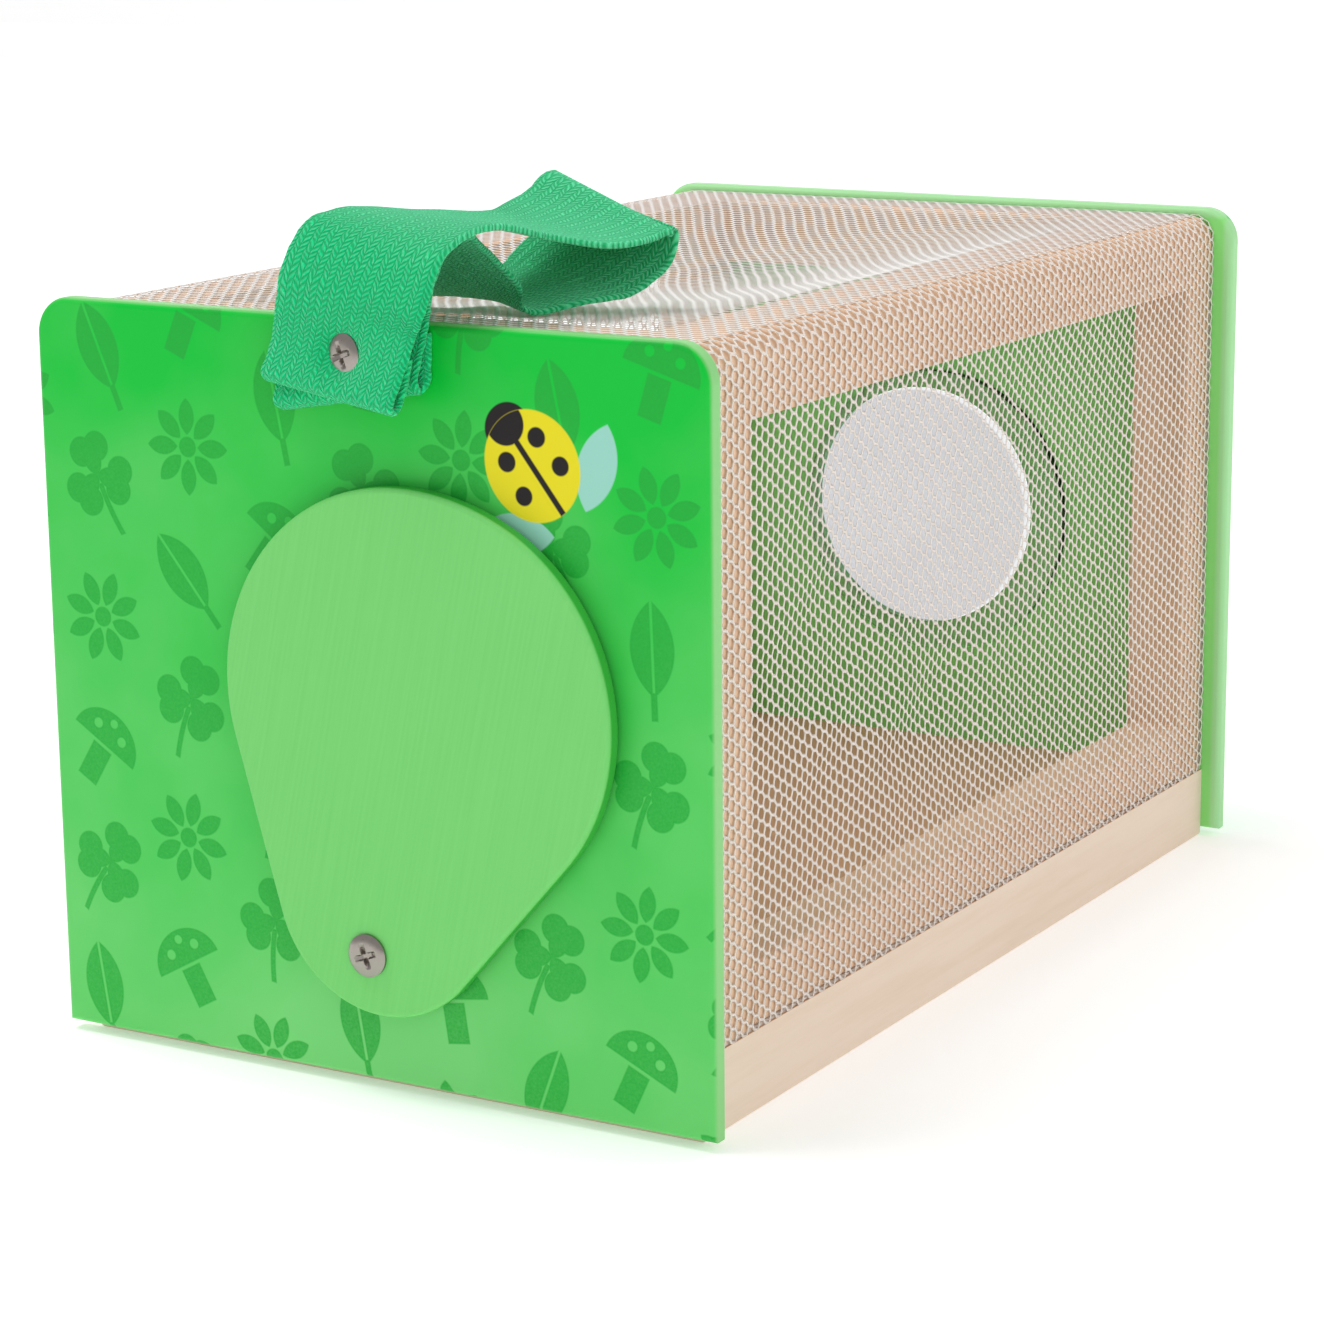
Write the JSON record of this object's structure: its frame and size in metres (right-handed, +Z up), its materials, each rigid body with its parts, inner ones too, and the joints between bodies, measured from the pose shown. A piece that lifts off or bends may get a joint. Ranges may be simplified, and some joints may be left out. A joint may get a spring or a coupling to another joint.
{
  "type": "bug box",
  "caption": "Wooden bug box with net walls and top, a teardrop door that swings aside from the entry hole, a magnifier window at the rear and a webbing carrying loop.",
  "frame": {"origin": "middle of the base board's underside, the face it stands on", "axes": "+Z up, -Y out of the front panel with the door, +X to the right of someone who looks at the front"},
  "size_m": [0.12, 0.2026, 0.137],
  "materials": {
    "panel_paint": "satin paint",
    "door_paint": "satin paint with brush marks",
    "bare_wood": "bare",
    "net_yarn": "knitted net",
    "webbing": "herringbone weave",
    "screw_steel": "zinc plated",
    "lens_glass": "clear"
  },
  "bodies": {
    "box": {"front_panel": "panel_paint", "rear_panel": "panel_paint", "lens": "lens_glass", "base_board": "bare_wood", "base_screws": "screw_steel", "front_left_post": "bare_wood", "front_right_post": "bare_wood", "rear_left_post": "bare_wood", "rear_right_post": "bare_wood", "top_left_rail": "bare_wood", "top_right_rail": "bare_wood", "bottom_left_rail": "bare_wood", "bottom_right_rail": "bare_wood", "front_cross_rail": "bare_wood", "rear_cross_rail": "bare_wood", "front_panel_dowels": "bare_wood", "rear_panel_dowels": "bare_wood", "net_left": "net_yarn", "net_top": "net_yarn", "net_right": "net_yarn", "net_staples": "screw_steel", "door_screw": "screw_steel", "door_washer": "screw_steel", "door_nut": "screw_steel", "handle_strap": "webbing", "strap_screw": "screw_steel"},
    "door": {"door": "door_paint"}
  },
  "joints": [
    {"name": "door_swing", "type": "hinge", "parent": "box", "child": "door", "pos_m": [0.002, -0.1009, 0.0228], "axis": [0, 1, 0], "range_deg": [-82.7, 57.3]}
  ]
}
